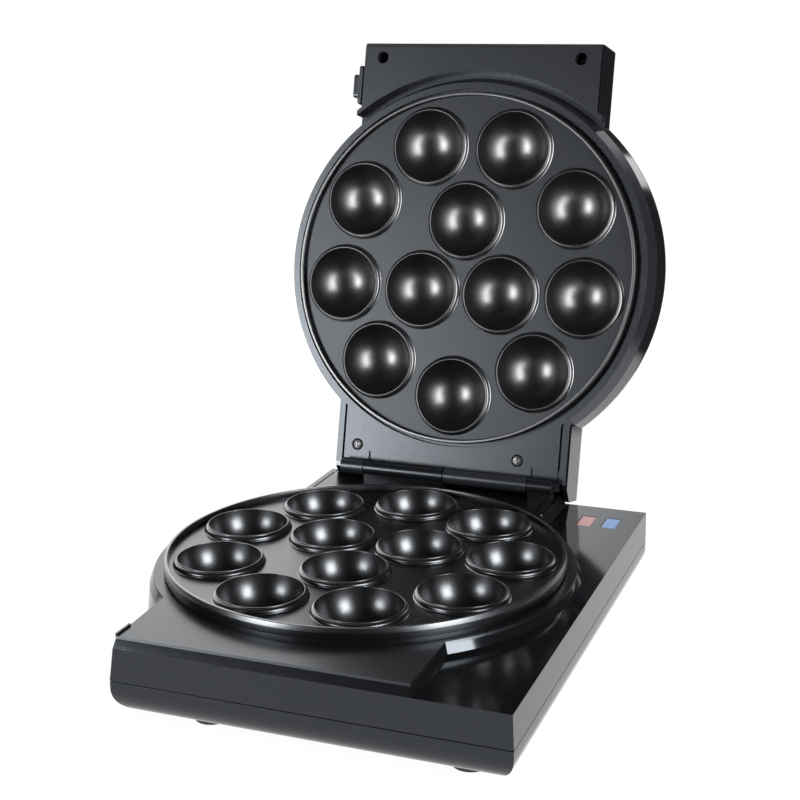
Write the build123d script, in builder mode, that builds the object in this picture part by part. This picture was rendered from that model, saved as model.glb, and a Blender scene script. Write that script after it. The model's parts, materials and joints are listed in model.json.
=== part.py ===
from build123d import *
from math import asin, cos, degrees, radians, sin
import os

# Cake pop maker: a low rectangular base with a round baking plate on it, and a lid
# that carries the same plate face down and folds back on a hinge behind the plates.
# All lengths are millimetres, all angles degrees. +X is to the right, +Y to the back,
# +Z up, and the origin lies on the ground under the middle of the open machine.

# ---- driving dimensions ------------------------------------------------------------

# Baking plates: the cups set the floor, and the floor sets the rim round it
cavity_radius = 18.8
cup_wall = 2.2
rim_land = 0.9
rim_rise = 3.0
plate_skin = 2.2
outer_cups = 9
outer_cup_circle = 66.7
inner_cups = 3
inner_cup_circle = 24.9
cup_margin = 1.9
crest_slope = 0.3
crest_land = 1.4
crest_fall = 0.5
crest_round = 0.5
plate_tuck = 1.0
plate_drop = 6.5
seat_width = 0.8
closing_gap = 1.0

# Casing skins and seams
skin = 2.5
seam = 0.4
shadow_depth = 1.2
edge_round = 0.6

# Heights of the base, one above the other; the wing is as high as the cord's gland needs
foot_height = 3.0
tray_height = 16.1
gland_foot = 0.9
gland_room = 0.2
wing_drop = 4.6

# Base outline: margins outside the plates, front to back and side to side
deck_margin = 4.5
platform_flare = 2.0
platform_foot = 1.7
front_apron = 16.0
front_slope = 2.4
parting_tuck = 0.4
wing_margin = 4.7
parting_lip = 0.5
block_left = 63.5
block_skew = 0.2
block_flare = 3.3
strip_stand = 5.5
strip_right = 60.3
strip_front = 50.0
strip_lip = 0.7
rear_tuck = 1.7
step_draft = 1.5
tray_edge_round = 12.5
corner_round = 1.6

# Hinge
hinge_setback = 12.5
hinge_rise = 0.7
wing_tail = 11.2
knuckle_radius = 4.2
pin_radius = 2.0
pin_clearance = 0.05
knuckle_gap = 0.6
left_shy = 2.7
right_shy = 1.7
lid_knuckle = 12.7
base_knuckle_one = 44.0
base_knuckle_two = 12.8
web_half = 3.0
opening = 103.7

# Lid heights, measured up from the lower rims with the lid closed
lid_face = 5.0
ring_height = 8.0
wall_flare_height = 12.0
wall_height = 10.0
groove_floor = 2.0
rear_step = 2.0
crown_round = 8.0

# Lid outline: margins outside the plates and outside the base
drum_gap = 1.8
drum_wall = 3.4
cone_flare = 3.2
groove_width = 2.9
belly_flare = 1.8
lid_overhang = 2.6
lid_side_step = 0.8
lid_band = 2.3
lid_wall_draft = 2.4
lid_lobe_stand = 2.5
panel_shy = 1.1
lid_lip_gap = 1.2
lid_lip = 3.2
cheek_draft = 1.7
cheek_gap = 0.7
lid_tail = 8.0
lip_shy = 1.3
back_wall_stand = 2.5
lid_panel = 2.0
lid_rib = 2.0
pocket_length = 8.3
pocket_depth = 1.2
rear_panel_front = 74.0
cheek_high = 8.8
screw_inset = 10.2
screw_setback = 5.4
front_screw_depth = 9.0
rear_screw_depth = 1.4
rear_screw_setback = 11.4
rear_screw_left = 7.4
rear_screw_right = 21.7
lid_boss_radius = 3.6
lid_lip_depth = 1.5
latch_stand = 0.6
latch_setback = 20.1
latch_rise = 4.4
latch_travel = 2.0
latch_plate_length = 20.6
latch_plate_height = 9.5
latch_plate_sheet = 2.0
plate_offset = 0.8
latch_tab_length = 12.4
latch_tab_height = 6.0
latch_tab_rise = 4.0
tab_offset = -0.9
shank_length = 8.0
shank_width = 1.9
keeper_length = 13.0
keeper_height = 3.4
keeper_back = 4.2
keeper_front = 2.6

# Details of the base
notch_slope = 3.0
notch_shy = 1.0
left_line_inset = 3.2
right_line_inset = 5.5
line_width = 0.9
line_depth = 0.8
catch_inset = 0.6
catch_length = 10.6
catch_rise = 0.9
pip_inset = 1.7
pip_setback = 34.9
pip_radius = 1.3
pip_rise = 0.8
boss_drop = 5.1
deck_boss_front = (15.5, 16.3)
deck_boss_back = (19.0, 21.7)
wing_boss_inset = 18.7
wing_boss_front = 44.7
wing_boss_back = 44.0
foot_front = 19.3
foot_right = 23.2
foot_back = 20.3
foot_left = 36.3
well_radius = 5.5
base_screw_length = 12.0
red_lens_inset = (25.6, 22.2)
blue_lens_inset = (13.3, 21.5)
lamp_height = 4.6
post_spread = 14.2
post_radius = 2.0
gland_inset = 20.7
gland_radius = 5.0
gland_flange = 6.2
gland_sheet = 2.0
gland_grip = 4.5
gland_bore = 3.0
thermostat_radius = 8.0
thermostat_height = 9.0
blade_width = 6.3
blade_sheet = 0.8
fuse_x = -30.0
fuse_y = -20.0
fuse_radius = 2.0
fuse_length = 12.0
fuse_lead_radius = 0.6
saddle_half = 3.0
terminal_inset = (30.0, 60.3)
terminal_pitch = 11.0
terminal_width = 14.0
terminal_height = 11.0
terminal_well = 2.5
board_sheet = 1.6
lamp_radius = 2.5

# Fasteners and small parts
screw_radius = 1.5
screw_clearance = 0.05
head_radius = 3.0
head_height = 2.2
head_slot = 0.7
boss_radius = 4.0
plate_boss_inset = 9.6
plate_screw_length = 11.0
foot_radius = 8.0
foot_flat = 7.4
foot_stem = 3.0
foot_bead = 0.8
lens_width = 7.3
lens_length = 14.3
lens_gap = 0.1
lens_flange = 1.3
element_radius = 3.25
element_lift = 4.0
element_lip = 0.3
element_gap = 25.0
terminal_drop = 4.5
bush_radius = 4.5
reflector_sheet = 1.0
reflector_gap = 3.0
reflector_inset = 4.0
reflector_edge = 0.2

# ---- sizes that follow --------------------------------------------------------------

# Radii from the axis of the plates, outwards
cup_radius = cavity_radius + cup_wall
rim_radius = cavity_radius + rim_land
floor_radius = outer_cup_circle + cup_radius + cup_margin
crest_inner = floor_radius + crest_slope
crest_outer = crest_inner + crest_land
plate_radius = crest_outer + crest_fall
deck_radius = plate_radius + deck_margin
platform_mid_radius = deck_radius + platform_flare
platform_low_radius = platform_mid_radius + platform_foot
drum_inner = plate_radius + drum_gap
drum_radius = drum_inner + drum_wall
cone_radius = drum_radius + cone_flare
lid_belly_radius = cone_radius + belly_flare
groove_radius = cone_radius + groove_width

# Heights of the base above the ground, and of the lid above the rims
parting_height = foot_height + tray_height
gland_height = parting_height + gland_foot + gland_radius
wing_height = gland_height + gland_flange + gland_room + skin
deck_height = wing_height + wing_drop
rim_height = deck_height + plate_drop
hinge_height = rim_height + hinge_rise
lid_seam_height = lid_face + ring_height
lid_belly_height = lid_seam_height + wall_flare_height
lid_top = lid_belly_height + wall_height
lid_body_top = lid_seam_height + groove_floor
lid_step = lid_body_top + rear_step

# Distances to the front and to the back
block_front = deck_radius + front_apron
wing_front = block_front + front_slope
parting_front = wing_front - parting_tuck
lid_block_front = block_front + lid_overhang
hinge_back = deck_radius + hinge_setback
wing_back = hinge_back + wing_tail
strip_back = wing_back + strip_lip
parting_back = wing_back - rear_tuck
lid_back = hinge_back + lid_tail
lid_back_wall = hinge_back + back_wall_stand
lid_lip_back = hinge_back - lip_shy
notch_low = wing_back - notch_shy
notch_high = notch_low - notch_slope

# Distances to the sides
wing_right = platform_low_radius + wing_margin
parting_right = wing_right + parting_lip
block_right = block_left + block_skew
parting_left = block_left + block_flare
strip_left = block_left + strip_stand
lid_block_half = block_left + lid_side_step
lid_wall_half = lid_block_half + lid_wall_draft
lid_lobe_half = lid_block_half + lid_lobe_stand
lid_rear_panel = strip_right - panel_shy
lid_rear_half = lid_rear_panel + lid_lip_gap + lid_lip
lid_rear_wall = lid_rear_half + cheek_draft
notch_outer = lid_rear_wall + cheek_gap
knuckle_left = left_shy - strip_right
knuckle_right = strip_right - right_shy

# Depths under a plate's rims
reflector_depth = cup_radius + reflector_gap
terminal_depth = reflector_depth + terminal_drop
element_depth = cup_radius - element_lift
element_circle = (outer_cup_circle + inner_cup_circle) / 2

# ---- frames ------------------------------------------------------------------------

# The plates sit left of and in front of the origin, because the open lid reaches back.
lid_reach = lid_block_front + lid_band + hinge_back
lid_thickness = lid_top + rim_height - hinge_height
back_reach = hinge_back - lid_reach * cos(radians(opening)) + lid_thickness * sin(radians(opening))
plate_x = (lid_belly_radius - parting_right) / 2
plate_y = (wing_front - back_reach) / 2
hinge_y = plate_y + hinge_back

ground = Plane((plate_x, plate_y, 0))
lower_face = ground.offset(rim_height)
hinge_centre = Pos(plate_x, hinge_y, hinge_height)
lid_frame = Plane(hinge_centre * Rot(X=-opening) * Pos(0, -hinge_back, rim_height - hinge_height))
lid_rims = lid_frame.offset(closing_gap)
upper_face = Plane(lid_rims.origin, x_dir=-lid_frame.x_dir, z_dir=-lid_frame.z_dir)

on_top = (Align.CENTER, Align.CENTER, Align.MIN)
below = (Align.CENTER, Align.CENTER, Align.MAX)
wide = 2 * wing_right


def section(frame):
    """The plane through the upright axis of a frame: X is the radius, Y the height."""
    return Plane(frame.origin, x_dir=frame.x_dir, z_dir=-frame.y_dir)


def profile(frame):
    """The plane down the middle of a frame, square to its X: X runs back, Y up."""
    return Plane(frame.origin, x_dir=frame.y_dir, z_dir=frame.x_dir)


def upright(frame):
    """The upright axis of a frame."""
    return Axis(frame.origin, frame.z_dir)


os.makedirs("parts", exist_ok=True)

# ---- the two heating sets: plate, element, reflector and what fastens them ----------

bore_radius = screw_radius + screw_clearance
plate_underside = -rim_rise - plate_skin
plate_inner = plate_radius - plate_skin
seat_radius = plate_inner - seat_width
plate_boss_circle = plate_inner - plate_boss_inset
reflector_radius = plate_radius - reflector_inset
reflector_flange = plate_radius - reflector_edge
flange_top = -plate_drop - skin
pan_inner = reflector_radius - reflector_sheet
pan_floor = -reflector_depth - reflector_sheet
rib_half = element_radius - element_lip
rib_end = -element_depth + element_radius / 2
cup_rings = (
    (outer_cup_circle, outer_cups, 180 / outer_cups - 90),
    (inner_cup_circle, inner_cups, -90),
)
element_ends = (90 - element_gap / 2, 90 + element_gap / 2)

top_corner = rim_land / 3

# One cup: a half-round bowl whose rim stands on the plate's floor, with a rounded crest.
with BuildPart() as cup:
    with BuildSketch(Plane.XZ):
        with BuildLine():
            Polyline((0, -rim_rise), (0, 0), (rim_radius, 0), (cup_radius, -rim_rise), close=True)
        rim = make_face()
        fillet(rim.vertices().sort_by(Axis.Y).group_by(Axis.X)[1], top_corner)
    revolve(axis=Axis.Z)
    Sphere(cup_radius, arc_size2=-degrees(asin(rim_rise / cup_radius)), align=None)

# The hollow of one cup, carried a little past its crest.
with BuildPart() as cavity:
    with BuildSketch(Plane.XZ):
        with BuildLine():
            bowl = CenterArc((0, 0), cavity_radius, -90, 90)
            Polyline(bowl @ 1, (cavity_radius, rim_land), (0, rim_land), bowl @ 0)
        make_face()
    revolve(axis=Axis.Z)

# The cast plate: floor, raised perimeter rim, the cups, a rib that holds the element
# and three bosses that take the screws. Its baking side faces up, with the rims at zero.
with BuildPart() as plate:
    with BuildSketch(Plane.XZ):
        with BuildLine():
            Polyline(
                (0, -rim_rise),
                (floor_radius, -rim_rise),
                (crest_inner, 0),
                (crest_outer, 0),
                (plate_radius, -plate_drop / 3),
                (plate_radius, plate_underside),
                (plate_radius - plate_tuck, plate_underside),
                (plate_radius - plate_tuck, -plate_drop),
                (plate_inner, -plate_drop),
                (plate_inner, plate_underside),
                (0, plate_underside),
                close=True,
            )
        disc = make_face()
        fillet(disc.vertices().group_by(Axis.Y)[-1], crest_round)
        with Locations((element_circle, (plate_underside + rib_end) / 2)):
            Rectangle(2 * rib_half, plate_underside - rib_end)
        with Locations((element_circle, -element_depth)):
            Circle(element_radius + pin_clearance, mode=Mode.SUBTRACT)
    revolve(axis=Axis.Z)
    with Locations((0, 0, -rim_rise - plate_skin / 2)):
        with PolarLocations(plate_boss_circle, inner_cups, start_angle=-90):
            Cylinder(boss_radius, reflector_depth - rim_rise - plate_skin / 2, align=below)
    for circle, count, start in cup_rings:
        with PolarLocations(circle, count, start_angle=start):
            add(cup.part)
    for circle, count, start in cup_rings:
        with PolarLocations(circle, count, start_angle=start):
            add(cavity.part, mode=Mode.SUBTRACT)
    with Locations((0, 0, -reflector_depth)):
        with PolarLocations(plate_boss_circle, inner_cups, start_angle=-90):
            Cylinder(bore_radius, plate_screw_length, align=on_top, mode=Mode.SUBTRACT)

# The element: a ring of tube with a gap at the back, whose two ends turn down through
# the reflector.
with BuildPart() as element:
    with BuildSketch(Plane.XZ.rotated((0, 0, element_ends[1]))):
        with Locations((element_circle, -element_depth)):
            Circle(element_radius)
    revolve(axis=Axis.Z, revolution_arc=360 - element_gap)
    for turn in element_ends:
        with Locations(Pos(0, 0, -element_depth) * Rot(Z=turn) * Pos(element_circle, 0, 0)):
            Sphere(element_radius)
            Cylinder(element_radius, terminal_depth - element_depth, align=below)

# The reflector: a thin pan that hangs under the plate, clamped under the casing by its
# flange, with holes for the screws and for the element's bushes.
with BuildPart() as reflector:
    with BuildSketch(Plane.XZ):
        with BuildLine():
            Polyline(
                (0, -reflector_depth),
                (pan_inner, -reflector_depth),
                (pan_inner, flange_top),
                (reflector_flange, flange_top),
                (reflector_flange, flange_top - reflector_sheet),
                (reflector_radius, flange_top - reflector_sheet),
                (reflector_radius, pan_floor),
                (0, pan_floor),
                close=True,
            )
        make_face()
    revolve(axis=Axis.Z)
    with Locations((0, 0, -reflector_depth)):
        with PolarLocations(plate_boss_circle, inner_cups, start_angle=-90):
            Cylinder(bore_radius, 2 * reflector_sheet, mode=Mode.SUBTRACT)
        for turn in element_ends:
            with PolarLocations(element_circle, 1, start_angle=turn):
                Cylinder(bush_radius, 2 * reflector_sheet, mode=Mode.SUBTRACT)

# Two ceramic bushes keep the ends of the element off the sheet of the reflector.
with BuildPart() as bushes:
    for turn in element_ends:
        with Locations(Pos(0, 0, pan_floor) * Rot(Z=turn) * Pos(element_circle, 0, 0)):
            Cylinder(bush_radius, reflector_sheet, align=on_top)
            Cylinder(bush_radius + reflector_sheet, reflector_sheet, align=below)
            Cylinder(element_radius + pin_clearance, 4 * reflector_sheet, mode=Mode.SUBTRACT)


def cross_screw(length, head, height):
    """A cross-head screw that hangs below its head, with the head's seat at zero."""
    with BuildPart() as screw:
        Cylinder(head, height, align=on_top)
        Cylinder(screw_radius, length, align=below)
        with Locations((0, 0, height)):
            Box(head, head_slot, height, mode=Mode.SUBTRACT)
            Box(head_slot, head, height, mode=Mode.SUBTRACT)
        fillet(screw.edges().filter_by(GeomType.CIRCLE).group_by(Axis.Z)[-1], head_slot / 2)
    return screw.part


plate_screw = cross_screw(plate_screw_length - head_slot, head_radius, head_height)
plate_screw_places = PolarLocations(plate_boss_circle, inner_cups, start_angle=-90)
plate_screws = [
    Pos(0, 0, pan_floor) * place * Rot(X=180) * plate_screw for place in plate_screw_places
]

for half, face in (("lower", lower_face), ("upper", upper_face)):
    heating_set = (
        ("baking_plate", plate.part),
        ("heating_element", element.part),
        ("reflector", reflector.part),
        ("element_bushes", bushes.part),
        ("plate_screws", Compound(plate_screws)),
    )
    for piece, shape in heating_set:
        node = face * shape
        node.label = f"{half}_{piece}"
        export_step(node, f"parts/{half}_{piece}.step")

# ---- the base ----------------------------------------------------------------------


def base_form(inset):
    """The raised base as one solid, with every skin moved inwards by inset."""
    back_left = -strip_left - step_draft
    levels = (
        (
            ((-parting_left, -parting_front), (parting_right, -parting_front),
             (parting_right, parting_back), (back_left, parting_back), (back_left, -strip_front)),
            ((-block_left - step_draft / 2, -wing_front), (wing_right, -wing_front),
             (wing_right, wing_back), (back_left, wing_back), (back_left, -strip_front)),
            parting_height,
            wing_height - inset,
        ),
        (
            ((-block_left - step_draft / 2, -wing_front), (block_right + step_draft, -wing_front),
             (block_right + step_draft, -strip_front),
             (-block_left - block_flare - step_draft, -strip_front)),
            ((-block_left, -block_front), (block_right, -block_front),
             (block_right, -strip_front), (-block_left - block_flare, -strip_front)),
            wing_height - 2 * inset,
            deck_height - inset,
        ),
        (
            ((back_left, strip_front), (strip_right + 2 * step_draft, strip_front),
             (strip_right + 2 * step_draft, wing_back), (back_left, wing_back)),
            ((-strip_left, strip_front), (strip_right, strip_front),
             (strip_right, strip_back), (-strip_left, strip_back)),
            wing_height - 2 * inset,
            deck_height - inset,
        ),
    )
    with BuildPart() as form:
        for low_points, high_points, low, high in levels:
            for points, height in ((low_points, low), (high_points, high)):
                with BuildSketch(ground.offset(height)):
                    Polygon(*points, align=None)
                    if inset:
                        offset(amount=-inset, kind=Kind.INTERSECTION, mode=Mode.REPLACE)
            loft()
        with BuildSketch(section(ground)):
            with BuildLine():
                Polyline(
                    (0, parting_height),
                    (platform_low_radius - inset, parting_height),
                    (platform_mid_radius - inset, wing_height),
                    (deck_radius - inset, deck_height - inset),
                    (0, deck_height - inset),
                    close=True,
                )
            make_face()
        revolve(axis=upright(ground))
    return form.part


base_outside = base_form(0)
base_inside = base_form(skin)

# Knuckles along the hinge line, from the left: lid, base, lid, base.
given_lengths = lid_knuckle + base_knuckle_one + base_knuckle_two + 3 * knuckle_gap
long_lid_knuckle = knuckle_right - knuckle_left - given_lengths
knuckle_lengths = (lid_knuckle, base_knuckle_one, long_lid_knuckle, base_knuckle_two)
knuckle_starts = [knuckle_left + sum(knuckle_lengths[:n]) + n * knuckle_gap for n in range(4)]
knuckle_spans = list(zip(knuckle_starts, knuckle_lengths))
lid_spans = knuckle_spans[0::2]
base_spans = knuckle_spans[1::2]
pin_start = knuckle_left + knuckle_gap
pin_end = knuckle_starts[3] + base_knuckle_two - knuckle_gap

boss_foot = parting_height - boss_drop
deck_screw_places = [
    (deck_boss_front[0] - block_left, deck_boss_front[1] - block_front),
    (deck_boss_back[0] - strip_left, strip_back - deck_boss_back[1]),
]
wing_screw_x = wing_right - wing_boss_inset
wing_screw_places = [
    (wing_screw_x, wing_boss_front - wing_front),
    (wing_screw_x, wing_back - wing_boss_back),
]
base_screw_places = deck_screw_places + wing_screw_places
rest_left = foot_left - parting_left
rest_right = parting_right - foot_right
rest_front = foot_front - parting_front
rest_back = parting_back - foot_back
rest_places = [
    (rest_left, rest_front),
    (rest_right, rest_front),
    (rest_right, rest_back),
    (rest_left, rest_back),
]
lens_places = {
    "red": (wing_right - red_lens_inset[0], wing_back - red_lens_inset[1]),
    "blue": (wing_right - blue_lens_inset[0], wing_back - blue_lens_inset[1]),
}
lamp_middle = (lens_places["red"][0] + lens_places["blue"][0]) / 2
lamp_back = (lens_places["red"][1] + lens_places["blue"][1]) / 2
lens_seat = wing_height - skin
board_top = lens_seat - lens_flange - lamp_height
casing_floor = foot_height + skin
hinge_round = pin_radius + pin_clearance
gland_x = wing_right - gland_inset
gland_nut = wing_back - gland_grip

# The upper casing: deck, slanted front, lower wing on the right, the strip behind the
# plate with the fixed hinge knuckles, and the bosses and posts inside.
with BuildPart() as base_upper_shell:
    add(base_outside)
    add(base_inside, mode=Mode.SUBTRACT)
    # Walls round the two rear notches that let the lid's cheeks swing down.
    for low, high in ((-notch_outer - skin, skin - strip_right), (strip_right - skin, strip_right)):
        with BuildSketch(ground.offset(wing_height - skin)):
            with Locations((low, notch_low - 2 * skin)):
                Rectangle(high - low, strip_back - notch_low + skin, align=Align.MIN)
        extrude(amount=deck_height - wing_height + skin / 2)
    for side in (-notch_outer, strip_right):
        with BuildSketch(profile(ground).offset(side)):
            with BuildLine():
                Polyline(
                    (notch_high, deck_height + skin),
                    (notch_low, wing_height),
                    (wide, wing_height),
                    (wide, deck_height + skin),
                    close=True,
                )
            make_face()
        extrude(amount=notch_outer - strip_right, mode=Mode.SUBTRACT)
    # The round opening that the plate covers.
    with BuildSketch(ground.offset(deck_height - 2 * skin)):
        Circle(seat_radius)
    extrude(amount=3 * skin, mode=Mode.SUBTRACT)
    # Two fine lines in the deck beside the hinge, a ridge at the front left and a pip at the right.
    with BuildSketch(ground.offset(deck_height - line_depth)):
        for x in (left_line_inset - strip_left, strip_right - right_line_inset):
            with Locations((x, strip_front)):
                Rectangle(line_width, notch_high - strip_front, align=(Align.CENTER, Align.MIN))
        Circle(deck_radius + line_width, mode=Mode.SUBTRACT)
    extrude(amount=skin, mode=Mode.SUBTRACT)
    with BuildSketch(ground.offset(deck_height - catch_rise)):
        with Locations((-block_left - catch_rise / 2, catch_inset - block_front)):
            Rectangle(catch_rise, catch_length, align=(Align.CENTER, Align.MIN))
    extrude(amount=2 * catch_rise)
    with BuildSketch(ground.offset(deck_height - skin / 2)):
        with Locations((strip_right - pip_inset, strip_back - pip_setback)):
            Circle(pip_radius)
    extrude(amount=skin / 2 + pip_rise)
    # Screw bosses under the deck and the wing, and the two lamp posts.
    for places, roof in ((deck_screw_places, deck_height), (wing_screw_places, wing_height)):
        with BuildSketch(ground.offset(boss_foot)):
            with Locations(*places):
                Circle(boss_radius)
        extrude(amount=roof - skin / 2 - boss_foot)
    with BuildSketch(ground.offset(boss_foot)):
        with Locations(*base_screw_places):
            Circle(bore_radius)
    extrude(amount=base_screw_length, mode=Mode.SUBTRACT)
    with BuildSketch(ground.offset(board_top)):
        for side in (-1, 1):
            with Locations((lamp_middle + side * post_spread, lamp_back)):
                Circle(post_radius)
    extrude(amount=lens_seat + skin / 2 - board_top)
    # Windows for the two lenses and the hole for the cord's gland.
    with BuildSketch(ground.offset(lens_seat - skin)):
        with Locations(*lens_places.values()):
            Rectangle(lens_width + 2 * lens_gap, lens_length + 2 * lens_gap)
    extrude(amount=3 * skin, mode=Mode.SUBTRACT)
    with BuildSketch(Plane(ground.origin, x_dir=-ground.x_dir, z_dir=ground.y_dir)):
        with Locations((-gland_x, gland_height)):
            Circle(gland_radius + lens_gap)
    extrude(amount=wide, mode=Mode.SUBTRACT)
    # Fixed knuckles, each on a web that rises from the deck, bored for the pin.
    for start, length in base_spans:
        with BuildSketch(profile(ground).offset(start)):
            with Locations((hinge_back, hinge_height)):
                Circle(knuckle_radius)
            with Locations((hinge_back, deck_height - skin / 2)):
                Rectangle(2 * web_half, hinge_height - deck_height + skin / 2,
                          align=(Align.CENTER, Align.MIN))
        extrude(amount=length)
    with BuildSketch(profile(ground).offset(pin_start)):
        with Locations((hinge_back, hinge_height)):
            Circle(hinge_round)
    extrude(amount=pin_end - pin_start, mode=Mode.SUBTRACT)
base_upper_shell.part.label = "base_upper_shell"
export_step(base_upper_shell.part, "parts/base_upper_shell.step")

# The lower casing: a tray with rounded edges, screw wells and foot holes.
with BuildPart() as base_lower_shell:
    with BuildSketch(ground.offset(foot_height)):
        Polygon(
            (-parting_left, -parting_front),
            (parting_right, -parting_front),
            (parting_right, parting_back),
            (-strip_left - step_draft, parting_back),
            (-strip_left - step_draft, -strip_front),
            align=None,
        )
        Circle(platform_low_radius)
    extrude(amount=parting_height - foot_height)
    fillet(faces().sort_by(Axis.Z)[0].edges(), tray_edge_round)
    offset(amount=-skin, openings=faces().sort_by(Axis.Z)[-1])
    # A shadow line runs round the outside under the upper casing.
    outer_edge = base_lower_shell.faces().sort_by(Axis.Z)[-1].outer_wire()
    with BuildSketch(Plane.XY.offset(parting_height)):
        add(Face(outer_edge))
        offset(amount=-shadow_depth, kind=Kind.INTERSECTION, mode=Mode.SUBTRACT)
    extrude(amount=-seam, mode=Mode.SUBTRACT)
    # Screw wells, with room for the heads underneath, and the holes for the feet.
    with BuildSketch(ground.offset(foot_height)):
        with Locations(*base_screw_places):
            Circle(well_radius)
    extrude(amount=boss_foot - foot_height)
    with BuildSketch(ground.offset(foot_height)):
        with Locations(*base_screw_places):
            Circle(head_radius + seam)
    extrude(amount=boss_foot - foot_height - skin, mode=Mode.SUBTRACT)
    with BuildSketch(ground.offset(foot_height)):
        with Locations(*base_screw_places):
            Circle(bore_radius)
    extrude(amount=boss_foot, mode=Mode.SUBTRACT)
    with BuildSketch(ground.offset(foot_height)):
        with Locations(*rest_places):
            Circle(foot_stem + screw_clearance)
    extrude(amount=2 * skin, mode=Mode.SUBTRACT)
base_lower_shell.part.label = "base_lower_shell"
export_step(base_lower_shell.part, "parts/base_lower_shell.step")

# A rubber foot: a low dome under the tray and a beaded stem up through its floor.
with BuildPart() as foot:
    with BuildSketch(Plane.XZ):
        with BuildLine():
            Polyline(
                (0, 0),
                (foot_flat, 0),
                (foot_radius - seam, foot_height / 2),
                (foot_radius, foot_height),
                (foot_stem, foot_height),
                (foot_stem, casing_floor),
                (foot_stem + foot_bead, casing_floor),
                (foot_stem, casing_floor + foot_bead + seam),
                (0, casing_floor + foot_bead + seam),
                close=True,
            )
        outline = make_face()
        fillet(outline.vertices().group_by(Axis.Y)[1], foot_bead)
    revolve(axis=Axis.Z)

for corner, place in zip(("front_left", "front_right", "rear_right", "rear_left"), Locations(*rest_places)):
    node = ground * place * foot.part
    node.label = f"foot_{corner}"
    export_step(node, f"parts/foot_{corner}.step")

# The screws that hold the two casings together, head down in their wells.
base_screw = cross_screw(skin + base_screw_length - head_slot, head_radius, head_height)
base_screws = [
    Pos(x, y, boss_foot - skin) * Rot(X=180) * base_screw for x, y in base_screw_places
]
node = ground * Compound(base_screws)
node.label = "base_screws"
export_step(node, "parts/base_screws.step")

# The pin through all four knuckles of the hinge.
with BuildPart() as hinge_pin:
    with BuildSketch(profile(ground).offset(pin_start)):
        with Locations((hinge_back, hinge_height)):
            Circle(pin_radius)
    extrude(amount=pin_end - pin_start)
hinge_pin.part.label = "hinge_pin"
export_step(hinge_pin.part, "parts/hinge_pin.step")

# ---- what works inside the base ----------------------------------------------------

# A thermostat button under the lower reflector, with two blades for its wires.
with BuildPart() as thermostat:
    with BuildSketch(lower_face.offset(pan_floor)):
        Circle(thermostat_radius)
    extrude(amount=-thermostat_height)
    with BuildSketch(lower_face.offset(pan_floor - thermostat_height / 2)):
        Rectangle(4 * thermostat_radius, blade_width)
    extrude(amount=-blade_sheet)
thermostat.part.label = "thermostat"
export_step(thermostat.part, "parts/thermostat.step")

# A thermal fuse, lying along X against the reflector, and the saddle that holds it.
fuse_height = rim_height + pan_floor - fuse_radius
with BuildPart() as thermal_fuse:
    for radius, length in ((fuse_radius, fuse_length), (fuse_lead_radius, 2 * fuse_length)):
        with BuildSketch(profile(ground).offset(fuse_x - length / 2)):
            with Locations((fuse_y, fuse_height)):
                Circle(radius)
        extrude(amount=length)
thermal_fuse.part.label = "thermal_fuse"
export_step(thermal_fuse.part, "parts/thermal_fuse.step")

with BuildPart() as fuse_clip:
    with BuildSketch(profile(ground).offset(fuse_x - saddle_half)):
        with Locations((fuse_y, fuse_height + fuse_radius)):
            Rectangle(6 * fuse_radius, blade_sheet, align=(Align.CENTER, Align.MAX))
        with Locations((fuse_y, fuse_height)):
            Circle(fuse_radius + blade_sheet + pin_clearance)
            Rectangle(2 * (fuse_radius + blade_sheet), fuse_radius, align=(Align.CENTER, Align.MIN))
            Circle(fuse_radius + pin_clearance, mode=Mode.SUBTRACT)
            Rectangle(2 * (fuse_radius + pin_clearance), 2 * fuse_radius, align=(Align.CENTER, Align.MIN),
                      mode=Mode.SUBTRACT)
    extrude(amount=2 * saddle_half)
fuse_clip.part.label = "fuse_clip"
export_step(fuse_clip.part, "parts/fuse_clip.step")

# A three-way block on the floor of the tray, where the wires meet.
terminal_place = (parting_right - terminal_inset[0], parting_back - terminal_inset[1])
with BuildPart() as terminal_block:
    with BuildSketch(ground.offset(casing_floor)):
        with Locations(terminal_place):
            Rectangle(terminal_pitch * 3, terminal_width)
    extrude(amount=terminal_height)
    with BuildSketch(ground.offset(casing_floor + terminal_height)):
        with Locations(terminal_place):
            with GridLocations(terminal_pitch, 0, 3, 1):
                Circle(terminal_well)
    extrude(amount=-terminal_height / 2, mode=Mode.SUBTRACT)
terminal_block.part.label = "terminal_block"
export_step(terminal_block.part, "parts/terminal_block.step")

# The gland in the rear wall, where the mains cord would come in.
with BuildPart() as cord_gland:
    with BuildSketch(Plane(ground.origin, x_dir=ground.x_dir, z_dir=ground.y_dir).offset(wing_back)):
        with Locations((gland_x, -gland_height)):
            Circle(gland_flange)
    extrude(amount=gland_sheet)
    with BuildSketch(Plane(ground.origin, x_dir=ground.x_dir, z_dir=ground.y_dir).offset(wing_back)):
        with Locations((gland_x, -gland_height)):
            Circle(gland_radius)
    extrude(amount=-gland_sheet * 4)
    with BuildSketch(Plane(ground.origin, x_dir=ground.x_dir, z_dir=ground.y_dir).offset(gland_nut)):
        with Locations((gland_x, -gland_height)):
            Circle(gland_flange)
    extrude(amount=-gland_sheet)
    with BuildSketch(Plane(ground.origin, x_dir=ground.x_dir, z_dir=ground.y_dir)):
        with Locations((gland_x, -gland_height)):
            Circle(gland_bore)
    extrude(amount=wide, mode=Mode.SUBTRACT)
cord_gland.part.label = "cord_gland"
export_step(cord_gland.part, "parts/cord_gland.step")

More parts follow.
